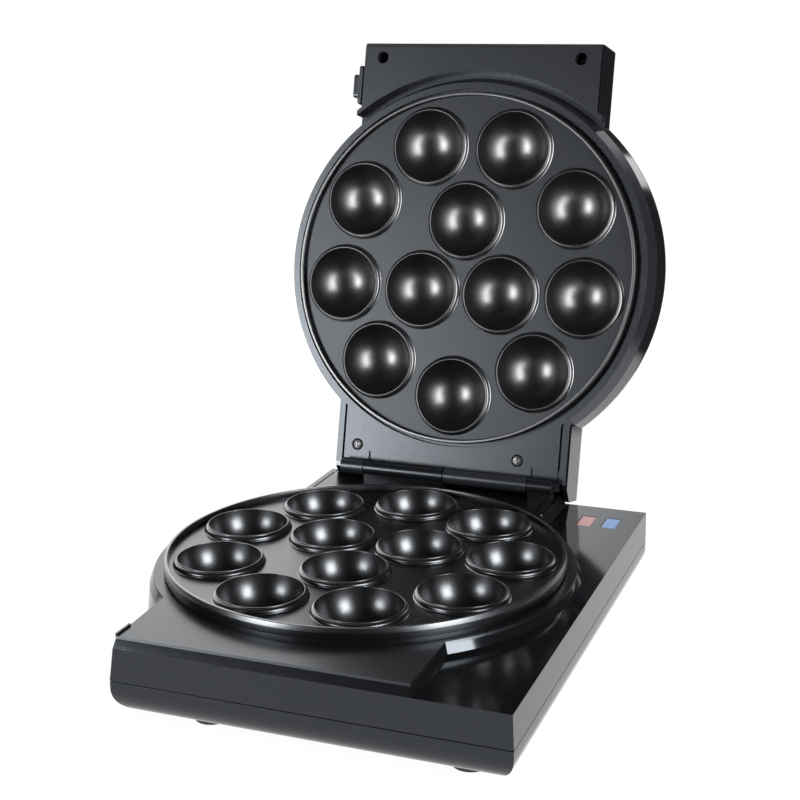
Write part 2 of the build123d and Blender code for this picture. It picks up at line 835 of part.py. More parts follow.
# The two tinted lenses, each with a flange under the wing.
for colour, (lens_x, lens_y) in lens_places.items():
    with BuildPart() as lens:
        with BuildSketch(ground.offset(lens_seat)):
            with Locations((lens_x, lens_y)):
                Rectangle(lens_width, lens_length)
        extrude(amount=skin - lens_gap)
        fillet(lens.faces().sort_by(Axis.Z)[-1].edges(), seam)
        with BuildSketch(ground.offset(lens_seat)):
            with Locations((lens_x, lens_y)):
                Rectangle(lens_width + 2 * lens_flange, lens_length + 2 * lens_flange)
        extrude(amount=-lens_flange)
    lens.part.label = f"{colour}_lens"
    export_step(lens.part, f"parts/{colour}_lens.step")

# The board that carries a lamp under each lens.
with BuildPart() as indicator_board:
    with BuildSketch(ground.offset(board_top)):
        with Locations((lamp_middle, lamp_back)):
            Rectangle(2 * (post_spread + post_radius), lens_length)
    extrude(amount=-board_sheet)
indicator_board.part.label = "indicator_board"
export_step(indicator_board.part, "parts/indicator_board.step")

with BuildPart() as indicator_lamps:
    with BuildSketch(ground.offset(board_top)):
        with Locations(*lens_places.values()):
            Circle(lamp_radius)
    extrude(amount=lamp_height - lens_gap)
    fillet(indicator_lamps.faces().group_by(Axis.Z)[-1].edges(), lamp_radius / 2)
indicator_lamps.part.label = "indicator_lamps"
export_step(indicator_lamps.part, "parts/indicator_lamps.step")

# ---- the lid -----------------------------------------------------------------------

rib_outer = groove_radius + lid_rib
body_half = lid_block_half - lid_panel
body_front = lid_block_front - edge_round
ring_top = lid_face + 2 * skin
lid_screw_x = lid_block_half - screw_inset
lid_screw_y = lid_block_front - screw_setback
front_screw_places = [(-lid_screw_x, -lid_screw_y), (lid_screw_x, -lid_screw_y)]
lid_screw_seat = lid_face + front_screw_depth
rear_screw_y = hinge_back - rear_screw_setback
rear_screw_places = [
    (rear_screw_left - lid_rear_panel, rear_screw_y),
    (lid_rear_panel - rear_screw_right, rear_screw_y),
]
rear_screw_seat = lid_face + rear_screw_depth
hinge_drop = hinge_height - rim_height
back_wall_half = lid_rear_panel + lid_lip_gap
latch_middle = latch_setback - lid_block_front
latch_origin = lid_frame * Pos(-lid_block_half - latch_stand, latch_middle, lid_face + latch_rise)
latch_face = Plane(latch_origin.position, x_dir=lid_frame.y_dir, z_dir=-lid_frame.x_dir)

slot_length = shank_length + 2 * (latch_travel + pin_clearance)
slot_width = shank_width + 2 * pin_clearance

# The inner casing: the ring that holds the plate, the front block with its slanted band
# and the groove behind it, the rear panel with the moving knuckles, and the screw tubes.
with BuildPart() as lid_inner_shell:
    # The front block: a panel with the slanted band along its front, and a body over it.
    with BuildSketch(profile(lid_frame).offset(-lid_block_half)):
        with BuildLine():
            Polyline(
                (-lid_block_front, lid_face),
                (-lid_block_front - lid_band, lid_face + lid_panel - seam),
                (-lid_block_front - lid_band, lid_face + lid_panel),
                (-strip_front, lid_face + lid_panel),
                (-strip_front, lid_face),
                close=True,
            )
        make_face()
    extrude(amount=2 * lid_block_half)
    with BuildSketch(lid_frame.offset(lid_face + lid_panel)):
        with Locations((0, -body_front)):
            Rectangle(2 * body_half, body_front - strip_front, align=(Align.CENTER, Align.MIN))
        with Locations((0, -body_front + lid_rib)):
            Rectangle(2 * (body_half - lid_rib), body_front, align=(Align.CENTER, Align.MIN),
                      mode=Mode.SUBTRACT)
    extrude(amount=lid_body_top - lid_face - lid_panel)
    # The rib behind the groove; its two ends stand out a little beyond the block.
    with BuildSketch(lid_frame.offset(lid_face)):
        with Locations((0, -strip_front)):
            Rectangle(2 * lid_lobe_half, wide, align=(Align.CENTER, Align.MAX))
        Circle(rib_outer, mode=Mode.INTERSECT)
    extrude(amount=lid_body_top - lid_face)
    with BuildSketch(lid_frame.offset(lid_face)):
        Circle(groove_radius)
    extrude(amount=lid_seam_height - lid_face, mode=Mode.SUBTRACT)
    with BuildSketch(lid_frame.offset(lid_face)):
        Circle(cone_radius - skin)
    extrude(amount=lid_body_top, mode=Mode.SUBTRACT)
    # The rear panel, a lip beyond a fine gap on either side, and the wall at its back.
    with BuildSketch(lid_frame.offset(lid_face)):
        with Locations((0, strip_front)):
            Rectangle(2 * lid_rear_half, lid_lip_back - strip_front, align=(Align.CENTER, Align.MIN))
            Rectangle(2 * back_wall_half, lid_back_wall - strip_front, align=(Align.CENTER, Align.MIN))
        Circle(drum_inner, mode=Mode.SUBTRACT)
    extrude(amount=lid_panel)
    with BuildSketch(lid_frame.offset(lid_face)):
        with Locations((0, lid_back_wall)):
            Rectangle(2 * back_wall_half, lid_rib, align=(Align.CENTER, Align.MAX))
    extrude(amount=lid_step + lid_rib - lid_face)
    with BuildSketch(lid_frame.offset(lid_face)):
        for side in (-1, 1):
            with Locations((side * (lid_rear_panel + lid_lip_gap / 2), rear_panel_front)):
                Rectangle(lid_lip_gap, wide, align=(Align.CENTER, Align.MIN))
    extrude(amount=lid_lip_depth, mode=Mode.SUBTRACT)
    with BuildSketch(section(lid_frame)):
        with BuildLine():
            Polyline(
                (drum_inner, lid_face),
                (drum_radius, lid_face),
                (cone_radius, lid_seam_height),
                (cone_radius - skin, lid_seam_height),
                (drum_radius - edge_round, ring_top),
                (seat_radius, ring_top),
                (seat_radius, lid_face + skin),
                (drum_inner, lid_face + skin),
                close=True,
            )
        ring = make_face()
    revolve(axis=upright(lid_frame))
    # Pockets that clear the fixed knuckles, then the moving knuckles and their webs.
    with BuildSketch(lid_frame.offset(lid_face)):
        for start, length in base_spans:
            with Locations((start - knuckle_gap, hinge_back - pocket_length)):
                Rectangle(length + 2 * knuckle_gap, wide, align=Align.MIN)
    extrude(amount=pocket_depth, mode=Mode.SUBTRACT)
    for start, length in lid_spans:
        with BuildSketch(profile(lid_frame).offset(start)):
            with Locations((hinge_back, hinge_drop)):
                Circle(knuckle_radius)
            with Locations((hinge_back - web_half, hinge_drop)):
                Rectangle(2 * web_half - edge_round, lid_face + lid_panel / 2 - hinge_drop, align=Align.MIN)
        extrude(amount=length)
    with BuildSketch(profile(lid_frame).offset(pin_start)):
        with Locations((hinge_back, hinge_drop)):
            Circle(hinge_round)
    extrude(amount=pin_end - pin_start, mode=Mode.SUBTRACT)
    # Screw tubes: deep ones in the front block, shallow ones in the rear panel.
    for places, seat in ((front_screw_places, lid_screw_seat), (rear_screw_places, rear_screw_seat)):
        with BuildSketch(lid_frame.offset(lid_face)):
            with Locations(*places):
                Circle(head_radius + 4 * seam)
        extrude(amount=seat + lid_rib - lid_face)
        with BuildSketch(lid_frame.offset(lid_face)):
            with Locations(*places):
                Circle(head_radius + seam / 2)
        extrude(amount=seat - lid_face, mode=Mode.SUBTRACT)
        with BuildSketch(lid_frame.offset(lid_face)):
            with Locations(*places):
                Circle(bore_radius)
        extrude(amount=lid_body_top, mode=Mode.SUBTRACT)
    # A window in the left side for the latch.
    with BuildSketch(latch_face):
        Rectangle(keeper_length + 2 * (latch_travel + seam), keeper_height + 2 * seam)
    extrude(amount=-lid_block_half + back_wall_half - 2 * seam, mode=Mode.SUBTRACT)
lid_inner_shell.part.label = "lid_inner_shell"
export_step(lid_inner_shell.part, "parts/lid_inner_shell.step")


def lid_form(inset):
    """The hollow lid cover as one solid, with every skin moved inwards by inset."""
    roof = lid_top - inset
    with BuildPart() as form:
        with BuildSketch(section(lid_frame)):
            with BuildLine():
                Polyline(
                    (0, lid_seam_height + seam / 2),
                    (cone_radius - inset, lid_seam_height + seam / 2),
                    (lid_belly_radius - inset, lid_belly_height),
                    (lid_belly_radius - inset, roof),
                    (0, roof),
                    close=True,
                )
            make_face()
        revolve(axis=upright(lid_frame))
        front_low = lid_block_half + step_draft / 2
        rear_low = lid_rear_half + step_draft / 2
        for low_half, high_half, near, far in (
            (front_low, lid_wall_half, -lid_block_front - lid_band + inset, -strip_front),
            (rear_low, lid_rear_wall, strip_front, lid_back - inset),
        ):
            for half, height in ((low_half, lid_face + lid_panel + seam), (high_half, roof)):
                with BuildSketch(lid_frame.offset(height)):
                    with Locations((0, near)):
                        Rectangle(2 * (half - inset), far - near, align=(Align.CENTER, Align.MIN))
            loft()
        crown = form.part.faces().sort_by(Axis(lid_frame.origin, lid_frame.z_dir))[-1]
        fillet(crown.edges(), crown_round - inset)
    return form.part


lid_outside = lid_form(0)
lid_inside = lid_form(skin)

# The cover: round walls that widen to a belly, the front and rear blocks, and a crown.
with BuildPart() as lid_outer_shell:
    add(lid_outside)
    add(lid_inside, mode=Mode.SUBTRACT)
    # Room for the ring's cone and for the rib behind the groove.
    with BuildSketch(lid_frame):
        Circle(cone_radius + seam)
    extrude(amount=lid_seam_height + seam / 2, mode=Mode.SUBTRACT)
    with BuildSketch(lid_frame):
        with Locations((0, -strip_front)):
            Rectangle(2 * (lid_lobe_half + seam), wide, align=(Align.CENTER, Align.MAX))
        Circle(rib_outer + seam, mode=Mode.INTERSECT)
    extrude(amount=lid_body_top + seam, mode=Mode.SUBTRACT)
    # The rear wall stops at a step over the fixed strip, and the cheeks are chamfered.
    with BuildSketch(lid_frame):
        with Locations((0, lid_back_wall + seam)):
            Rectangle(2 * (back_wall_half + step_draft), wide, align=(Align.CENTER, Align.MIN))
    extrude(amount=lid_step, mode=Mode.SUBTRACT)
    with BuildSketch(lid_frame.offset(lid_step)):
        with Locations((0, lid_back_wall + seam)):
            Rectangle(2 * (back_wall_half + step_draft), lid_back - lid_back_wall - skin,
                      align=(Align.CENTER, Align.MIN))
    extrude(amount=skin)
    with BuildSketch(profile(lid_frame).offset(-wide / 2)):
        with BuildLine():
            Polyline(
                (lid_lip_back, lid_face),
                (lid_back, lid_face + cheek_high),
                (lid_back + skin, lid_face + cheek_high),
                (lid_back + skin, lid_face),
                close=True,
            )
        make_face()
    extrude(amount=wide, mode=Mode.SUBTRACT)
    # Bosses for the four screws.
    for places, foot_z in (
        (front_screw_places, lid_screw_seat + lid_rib),
        (rear_screw_places, rear_screw_seat + lid_rib),
    ):
        with BuildSketch(lid_frame.offset(foot_z)):
            with Locations(*places):
                Circle(lid_boss_radius)
        extrude(amount=lid_top - skin / 2 - foot_z)
        with BuildSketch(lid_frame.offset(foot_z)):
            with Locations(*places):
                Circle(bore_radius)
        extrude(amount=base_screw_length, mode=Mode.SUBTRACT)
    # A shallow seat in the left wall for the latch's plate, and the latch's slot.
    with BuildSketch(latch_face):
        with Locations((0, plate_offset)):
            Rectangle(latch_plate_length + seam / 2, latch_plate_height + seam / 2)
    extrude(amount=latch_plate_sheet, mode=Mode.SUBTRACT)
    with BuildSketch(latch_face):
        Rectangle(slot_length, slot_width)
    extrude(amount=-lid_block_half + back_wall_half, mode=Mode.SUBTRACT)
lid_outer_shell.part.label = "lid_outer_shell"
export_step(lid_outer_shell.part, "parts/lid_outer_shell.step")

# Screws of the lid: deep in the front block, and flush in the rear panel.
for end, places, seat, height in (
    ("front", front_screw_places, lid_screw_seat, head_height),
    ("rear", rear_screw_places, rear_screw_seat, rear_screw_seat - lid_face - seam / 2),
):
    screw = cross_screw(lid_rib + base_screw_length - head_slot, head_radius, height)
    screws = [Pos(x, y, seat) * Rot(X=180) * screw for x, y in places]
    node = lid_frame * Compound(screws)
    node.label = f"lid_{end}_screws"
    export_step(node, f"parts/lid_{end}_screws.step")

# The latch on the left side of the front block: a slotted plate and the slide in it.
with BuildPart() as latch_escutcheon:
    with BuildSketch(latch_face):
        with Locations((0, plate_offset)):
            Rectangle(latch_plate_length, latch_plate_height)
        fillet(vertices(), corner_round)
    extrude(amount=latch_plate_sheet)
    chamfer(faces().sort_by(Axis.X)[0].edges(), edge_round)
    with BuildSketch(latch_face):
        Rectangle(slot_length, slot_width)
    extrude(amount=latch_plate_sheet, mode=Mode.SUBTRACT)
latch_escutcheon.part.label = "latch_escutcheon"
export_step(latch_escutcheon.part, "parts/latch_escutcheon.step")

with BuildPart() as latch_slide:
    with BuildSketch(latch_face.offset(latch_plate_sheet + pin_clearance)):
        with Locations((0, tab_offset)):
            Rectangle(latch_tab_length, latch_tab_height)
        fillet(vertices(), corner_round)
    extrude(amount=latch_tab_rise)
    fillet(faces().sort_by(Axis.X)[0].edges(), edge_round)
    with BuildSketch(latch_face.offset(latch_plate_sheet + seam)):
        Rectangle(shank_length, shank_width)
    extrude(amount=-latch_plate_sheet - keeper_back)
    with BuildSketch(latch_face.offset(-keeper_front)):
        Rectangle(keeper_length, keeper_height)
    extrude(amount=keeper_front - keeper_back)
latch_slide.part.label = "latch_slide"
export_step(latch_slide.part, "parts/latch_slide.step")
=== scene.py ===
import json
import math

import bmesh
import bpy
from bpy.props import FloatProperty, FloatVectorProperty, IntProperty, PointerProperty
from bpy.types import Operator, Panel, PropertyGroup
from mathutils import Matrix, Vector


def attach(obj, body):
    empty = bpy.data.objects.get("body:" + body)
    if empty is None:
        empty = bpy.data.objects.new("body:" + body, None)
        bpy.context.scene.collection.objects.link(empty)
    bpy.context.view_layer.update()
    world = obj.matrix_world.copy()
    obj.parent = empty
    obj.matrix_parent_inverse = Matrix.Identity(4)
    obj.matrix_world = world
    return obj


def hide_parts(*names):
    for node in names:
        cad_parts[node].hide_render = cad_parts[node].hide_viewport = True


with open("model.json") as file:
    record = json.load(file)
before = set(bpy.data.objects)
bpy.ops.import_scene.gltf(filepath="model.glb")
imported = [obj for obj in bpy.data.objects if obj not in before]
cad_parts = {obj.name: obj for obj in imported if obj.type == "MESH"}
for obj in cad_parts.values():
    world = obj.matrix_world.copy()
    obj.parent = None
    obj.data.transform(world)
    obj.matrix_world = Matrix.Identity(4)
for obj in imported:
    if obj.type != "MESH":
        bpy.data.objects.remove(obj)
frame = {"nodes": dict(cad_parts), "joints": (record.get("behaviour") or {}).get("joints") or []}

bl_info = {
    "name": "Cake Pop Maker",
    "version": (1, 0, 0),
    "blender": (4, 5, 0),
    "location": "3D View > Sidebar > Cake Pop",
    "description": "Dresses the cake pop maker: casings, baking plates, screws, lenses and studio",
    "category": "Object",
}

MM = 0.001
DECK_TOP = 38.5 * MM
COOL_GLOSS = (0.84, 0.91, 1.0)

# Rounding the casings: edges that turn more than the first are rounded, slighter creases that turn
# more than the second stay sharp between broad facets, and facets that turn less than the third merge.
ROUNDED_TURN = math.radians(28)
CREASED_TURN = math.radians(5)
MERGED_TURN = math.radians(0.6)
MERGED_GAP = 0.02 * MM
BROAD_FACET = 1.0 * MM

# The middle of the floor is lit out to here, and fades from it over this width.
LIT_FLOOR = 330.0 * MM
LIT_FADE = 50.0 * MM

# The strip lamps: where they stand about the machine, in degrees. Beyond its middle the floor carries a
# painted reflection of each, a band that glows in gloss only: half the width of that band in degrees, how
# softly it ends, and how bright the painted glow is.
RIGHT_STRIP = -27
LEFT_STRIP = -122
PAINTED_STRIP_SECTORS = ((RIGHT_STRIP, 14), (LEFT_STRIP, 10))
PAINTED_STRIP_FADE = 3
PAINTED_STRIP_GLOW = 12.0
HINGE = next(joint for joint in frame["joints"] if joint["name"] == "lid_hinge")
HINGE_POINT = Vector(HINGE["pos_m"])
OPENING = math.radians(HINGE["range_deg"][1])


# ---- sizes and colours --------------------------------------------------------------


class PlateSizes(PropertyGroup):
    """Sizes of one baking plate, in metres"""

    outer_cups: IntProperty(name="Outer cups", description="Cups on the outer circle", default=9)
    outer_circle: FloatProperty(
        name="Outer circle", description="Radius of the outer circle", default=66.7 * MM, unit="LENGTH"
    )
    inner_cups: IntProperty(name="Inner cups", description="Cups on the inner circle", default=3)
    inner_circle: FloatProperty(
        name="Inner circle", description="Radius of the inner circle", default=24.9 * MM, unit="LENGTH"
    )
    cavity: FloatProperty(
        name="Cavity", description="Radius of a cup's hollow", default=18.8 * MM, unit="LENGTH"
    )
    wall: FloatProperty(name="Wall", description="Thickness of a cup", default=2.2 * MM, unit="LENGTH")
    hinge_back: FloatProperty(
        name="Hinge distance",
        description="From the middle of the plates back to the hinge",
        default=108.8 * MM,
        unit="LENGTH",
    )
    hinge_rise: FloatProperty(
        name="Hinge rise", description="The hinge above the lower rims", default=0.7 * MM, unit="LENGTH"
    )
    gap: FloatProperty(
        name="Closing gap", description="Between the two plates when closed", default=1.0 * MM, unit="LENGTH"
    )


class CasingLooks(PropertyGroup):
    """Colours and edge rounding of the moulded casings"""

    base_colour: FloatVectorProperty(
        name="Base", description="Colour of the base moulding", default=(0.0045, 0.0048, 0.0055),
        subtype="COLOR", min=0, max=1,
    )
    lid_colour: FloatVectorProperty(
        name="Lid", description="Colour of the lid moulding", default=(0.0045, 0.0048, 0.0058),
        subtype="COLOR", min=0, max=1,
    )
    edge: FloatProperty(
        name="Edge rounding", description="Radius of the moulded edges", default=0.5 * MM, unit="LENGTH"
    )
    plate_colour: FloatVectorProperty(
        name="Plate coating", description="Colour of the non-stick coating", default=(0.0012, 0.0012, 0.0015),
        subtype="COLOR", min=0, max=1,
    )
    red: FloatVectorProperty(
        name="Red lens", description="Colour of the red lens", default=(0.46, 0.13, 0.12),
        subtype="COLOR", min=0, max=1,
    )
    blue: FloatVectorProperty(
        name="Blue lens", description="Colour of the blue lens", default=(0.03, 0.2, 0.58),
        subtype="COLOR", min=0, max=1,
    )


class StudioSettings(PropertyGroup):
    """Camera and lamps"""

    camera_place: FloatVectorProperty(
        name="Camera", description="Where the camera stands", default=(0.24308, -0.63152, 0.28796),
        subtype="TRANSLATION",
    )
    yaw: FloatProperty(
        name="Yaw", description="Turn of the camera to the left of straight back", default=0.3672,
        subtype="ANGLE",
    )
    pitch: FloatProperty(
        name="Pitch", description="Downward tilt of the camera", default=0.2649, subtype="ANGLE"
    )
    roll: FloatProperty(name="Roll", description="Roll of the camera", default=-0.0081, subtype="ANGLE")
    lens: FloatProperty(name="Lens", description="Focal length in millimetres", default=66.92)
    strip_power: FloatProperty(
        name="Strip lamps", description="Power that the strip lamps take their shares of", default=26.0
    )
    top_power: FloatProperty(name="Top lamp", description="Power of the lamp overhead", default=3.0)
    fill: FloatProperty(name="Fill", description="Strength of the surrounding light", default=0.35)
    back_card: FloatProperty(
        name="Back card", description="How bright the light side of the studio looks in gloss", default=2.2
    )
    front_card: FloatProperty(
        name="Front card", description="How bright the dark side of the studio looks in gloss", default=0.03
    )


# ---- places -------------------------------------------------------------------------


def plate_centre(sizes):
    """The middle of the plates at the height of the lower rims."""
    return HINGE_POINT - Vector((0, sizes.hinge_back, sizes.hinge_rise))


def lower_place(sizes):
    """Carries a plate, rims up at zero, into the base."""
    return Matrix.Translation(plate_centre(sizes))


def lid_place(sizes):
    """Carries a piece of the closed lid to the open lid."""
    return (
        Matrix.Translation(HINGE_POINT)
        @ Matrix.Rotation(-OPENING, 4, "X")
        @ Matrix.Translation((0, -sizes.hinge_back, -sizes.hinge_rise))
    )


def upper_place(sizes):
    """Carries a plate, rims up at zero, face down into the lid."""
    return lid_place(sizes) @ Matrix.Translation((0, 0, sizes.gap)) @ Matrix.Rotation(math.pi, 4, "Y")


# ---- shader maths and node helpers ----------------------------------------------------


class Value:
    """A socket that adds its Math nodes when it is used in a sum."""

    def __init__(self, material, socket):
        self.material = material
        self.socket = socket

    def _math(self, operation, *values):
        return self.material.node("ShaderNodeMath", {"operation": operation}, *values)

    def __add__(self, other):
        return self._math("ADD", self, other)

    __radd__ = __add__

    def __sub__(self, other):
        return self._math("SUBTRACT", self, other)

    def __rsub__(self, other):
        return self._math("SUBTRACT", other, self)

    def __mul__(self, other):
        return self._math("MULTIPLY", self, other)

    __rmul__ = __mul__

    def __truediv__(self, other):
        return self._math("DIVIDE", self, other)

    def largest(self, other):
        return self._math("MAXIMUM", self, other)

    def ramp(self, low, high):
        """0 below low, 1 above high, smooth between them."""
        return self.material.node(
            "ShaderNodeMapRange",
            {"interpolation_type": "SMOOTHSTEP"},
            {"Value": self, "From Min": low, "From Max": high},
        )


class Finish:
    """A material and the one way its nodes are made."""

    def __init__(self, name, **constants):
        self.material = bpy.data.materials.new(name)
        self.material.use_nodes = True
        self.tree = self.material.node_tree
        self.tree.nodes.clear()
        self.output = self.tree.nodes.new("ShaderNodeOutputMaterial")
        self.shader = self.tree.nodes.new("ShaderNodeBsdfPrincipled")
        self.tree.links.new(self.shader.outputs[0], self.output.inputs["Surface"])
        self.set(**constants)

    def set(self, **values):
        """Sets or links the shader's own sockets; an underscore stands for a space."""
        for name, value in values.items():
            self._fill(self.shader.inputs[name.replace("_", " ")], value)

    def _fill(self, socket, value):
        if isinstance(value, Value):
            self.tree.links.new(value.socket, socket)
        elif hasattr(value, "__len__") and len(value) == 3 and socket.type == "RGBA":
            socket.default_value = (*value, 1.0)
        else:
            socket.default_value = value

    def node(self, kind, settings=None, *inputs, output=0):
        """A node of that type with its settings, its inputs by place or by name, as a Value."""
        made = self.tree.nodes.new(kind)
        for key, value in (settings or {}).items():
            setattr(made, key, value)
        if len(inputs) == 1 and isinstance(inputs[0], dict):
            for key, value in inputs[0].items():
                self._fill(made.inputs[key], value)
        else:
            for socket, value in zip(made.inputs, inputs):
                self._fill(socket, value)
        return Value(self, made.outputs[output])

    def place(self):
        """Object coordinates, in metres."""
        return self.node("ShaderNodeTexCoord", output="Object")

    def noise(self, scale, detail=2.0, vector=None):
        """Noise from 0 to 1 with that many features in a metre."""
        return self.node(
            "ShaderNodeTexNoise", {}, {"Vector": vector or self.place(), "Scale": scale, "Detail": detail}
        )

    def bump(self, height, strength, distance):
        """Turns a height into a normal."""
        return self.node(
            "ShaderNodeBump", {}, {"Height": height, "Strength": strength, "Distance": distance}
        )

    def mix(self, factor, low, high):
        """A colour between two colours."""
        made = self.tree.nodes.new("ShaderNodeMix")
        made.data_type = "RGBA"
        self._fill(made.inputs["Factor"], factor)
        self._fill(made.inputs[6], low)
        self._fill(made.inputs[7], high)
        return Value(self, made.outputs[2])

    def distance_to(self, point, plane_normal=None):
        """How far the surface is from a point, or from the axis through it."""
        vector = self.node("ShaderNodeVectorMath", {"operation": "SUBTRACT"}, self.place(), tuple(point))
        if plane_normal is not None:
            along = self.node("ShaderNodeVectorMath", {"operation": "PROJECT"}, vector, tuple(plane_normal))
            vector = self.node("ShaderNodeVectorMath", {"operation": "SUBTRACT"}, vector, along)
        return self.node("ShaderNodeVectorMath", {"operation": "LENGTH"}, vector, output="Value")


def moulded_plastic(name, colour, roughness, orange_peel=0.02, satin_deck=False):
    """Glossy moulded plastic: a faint orange peel, dust in the gloss and a slight mottling."""
    finish = Finish(name, Specular_IOR_Level=0.55, Specular_Tint=COOL_GLOSS)
    mottle = finish.noise(38.0, 3.0)
    darker = tuple(c * 0.86 for c in colour)
    lighter = tuple(c * 1.12 for c in colour)
    dust = finish.noise(900.0, 2.0).ramp(0.62, 0.78)
    haze = finish.noise(16.0, 4.0)
    peel = finish.noise(420.0, 2.0) + finish.noise(2600.0, 1.0) * 0.25
    worn = haze * 0.06 + dust * 0.05 + (roughness - 0.03)
    if satin_deck:
        # The deck is satin, and the wings below it are glossy.
        rise = finish.node("ShaderNodeSeparateXYZ", {}, finish.place(), output=2)
        worn = worn + rise.ramp(DECK_TOP - 1.0 * MM, DECK_TOP - 0.9 * MM) * 0.16
    finish.set(
        Base_Color=finish.mix(mottle, darker, lighter),
        Roughness=worn,
        Normal=finish.bump(peel, orange_peel, 0.0004),
    )
    return finish.material


def metal(name, colour, roughness):
    """Worked metal: fine scratches, uneven gloss and a little staining."""
    finish = Finish(name, Metallic=1.0)
    stretched = finish.node("ShaderNodeMapping", {}, {"Vector": finish.place(), "Scale": (1.0, 14.0, 14.0)})
    scratch = finish.noise(700.0, 3.0, stretched)
    stain = finish.noise(60.0, 4.0)
    finish.set(
        Base_Color=finish.mix(stain, tuple(c * 0.8 for c in colour), tuple(min(1, c * 1.1) for c in colour)),
        Roughness=scratch * 0.14 + stain * 0.08 + (roughness - 0.1),
        Normal=finish.bump(scratch, 0.06, 0.0003),
    )
    return finish.material


def matte_moulding(name, colour, roughness, grain=1400.0):
    """Matt moulding or rubber with a fine grain."""
    finish = Finish(name)
    cloud = finish.noise(55.0, 3.0)
    pits = finish.noise(grain, 3.0)
    finish.set(
        Base_Color=finish.mix(cloud, tuple(c * 0.8 for c in colour), tuple(min(1, c * 1.15) for c in colour)),
        Roughness=pits * 0.16 + (roughness - 0.08),
        Normal=finish.bump(pits, 0.18, 0.0003),
    )
    return finish.material


def non_stick(name, colour, axis_point, axis, roughness, shine, coat):
    """Baked non-stick coating: satin, with a fine speckle and slight rings from the casting."""
    finish = Finish(
        name, Specular_IOR_Level=shine, Specular_Tint=COOL_GLOSS, Coat_Roughness=0.3, Coat_IOR=1.75
    )
    polish = finish.node("ShaderNodeAttribute", {"attribute_name": "polish"}, output="Fac")
    speckle = finish.noise(5200.0, 2.0)
    cloud = finish.noise(26.0, 3.0)
    radius = finish.distance_to(axis_point, axis)
    rings = finish.node(
        "ShaderNodeMath", {"operation": "SINE"}, radius * 9000.0 + finish.noise(30.0) * 6.0
    )
    finish.set(
        Base_Color=finish.mix(cloud, tuple(c * 0.88 for c in colour), tuple(c * 1.15 for c in colour)),
        Roughness=cloud * 0.05 + speckle * 0.08 + (roughness - 0.06),
        Coat_Weight=polish * coat + 0.06,
        Normal=finish.bump(speckle + rings * 0.06, 0.04, 0.0002),
    )
    return finish.material


def tinted_lens(name, colour):
    """A tinted lamp lens with fine prisms inside."""
    finish = Finish(name, Specular_IOR_Level=0.5, Coat_Weight=0.6, Coat_Roughness=0.05, Roughness=0.3)
    wave = finish.node(
        "ShaderNodeTexWave", {"wave_type": "BANDS", "bands_direction": "X"},
        {"Vector": finish.place(), "Scale": 320.0, "Distortion": 0.0},
    )
    cloud = finish.noise(180.0, 2.0)
    finish.set(
        Base_Color=finish.mix(wave * 0.35 + cloud * 0.3, tuple(c * 0.8 for c in colour),
                              tuple(min(1, c * 1.12 + 0.03) for c in colour)),
        Normal=finish.bump(wave, 0.08, 0.0002),
    )
    return finish.material


# ---- mesh helpers ---------------------------------------------------------------------


def keep_mesh(obj, body, node_slot, *replaced):
    """Lets a finished piece ride on its body, in place of the CAD nodes it stands for."""
    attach(obj, body)
    if replaced:
        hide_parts(*replaced)
    return obj


def new_object(name, mesh, material=None):
    """Links a mesh object at the origin."""
    obj = bpy.data.objects.new(name, mesh)
    bpy.context.scene.collection.objects.link(obj)
    if material is not None:
        mesh.materials.clear()
        mesh.materials.append(material)
    return obj


def baked(obj, name, material=None):
    """The evaluated object as a plain mesh object, with the unfinished one removed."""
    bpy.context.view_layer.update()
    graph = bpy.context.evaluated_depsgraph_get()
    mesh = bpy.data.meshes.new_from_object(obj.evaluated_get(graph))
    mesh.name = name
    bpy.data.objects.remove(obj)
    return new_object(name, mesh, material)


def smooth(mesh, degrees):
    """Smooth faces with sharp edges where they turn more than that."""
    mesh.shade_smooth()
    mesh.set_sharp_from_angle(angle=math.radians(degrees))


def facet_width(face):
    """How wide a long narrow facet is."""
    return face.calc_area() / max(side.calc_length() for side in face.edges)


def softened(node, name, material, edge):
    """A copy of a CAD node with its doubles merged and its hard edges rounded."""
    shape = bmesh.new()
    shape.from_mesh(frame["nodes"][node].data)
    bmesh.ops.remove_doubles(shape, verts=shape.verts, dist=MERGED_GAP)
    bmesh.ops.dissolve_limit(
        shape, angle_limit=MERGED_TURN, verts=shape.verts, edges=shape.edges, delimit={"NORMAL"}
    )
    # A slight crease between two broad facets stays sharp, so that neither bends the other's gloss.
    for face in shape.faces:
        face.smooth = True
    for crease in shape.edges:
        if len(crease.link_faces) == 2 and CREASED_TURN < crease.calc_face_angle() < ROUNDED_TURN:
            crease.smooth = min(facet_width(face) for face in crease.link_faces) < BROAD_FACET
    mesh = bpy.data.meshes.new(name)
    shape.to_mesh(mesh)
    shape.free()
    obj = new_object(name, mesh, material)
    bevel = obj.modifiers.new("Rounded edges", "BEVEL")
    bevel.width = edge
    bevel.segments = 2
    bevel.limit_method = "ANGLE"
    bevel.angle_limit = ROUNDED_TURN
    weighted = obj.modifiers.new("Flat faces", "WEIGHTED_NORMAL")
    weighted.keep_sharp = True
    return baked(obj, name, material)


def lathed(profile, turns, name):
    """A closed profile of (radius, height) pairs turned about the upright axis."""
    shape = bmesh.new()
    rings = []
    for step in range(turns):
        angle = 2 * math.pi * step / turns
        rings.append([
            shape.verts.new((r * math.cos(angle), r * math.sin(angle), z)) for r, z in profile
        ])
    count = len(profile)
    for step in range(turns):
        here, following = rings[step], rings[(step + 1) % turns]
        for i in range(count):
            j = (i + 1) % count
            shape.faces.new((here[i], following[i], following[j], here[j]))
    bmesh.ops.remove_doubles(shape, verts=shape.verts, dist=1e-7)
    bmesh.ops.recalc_face_normals(shape, faces=shape.faces)
    mesh = bpy.data.meshes.new(name)
    shape.to_mesh(mesh)
    shape.free()
    return mesh


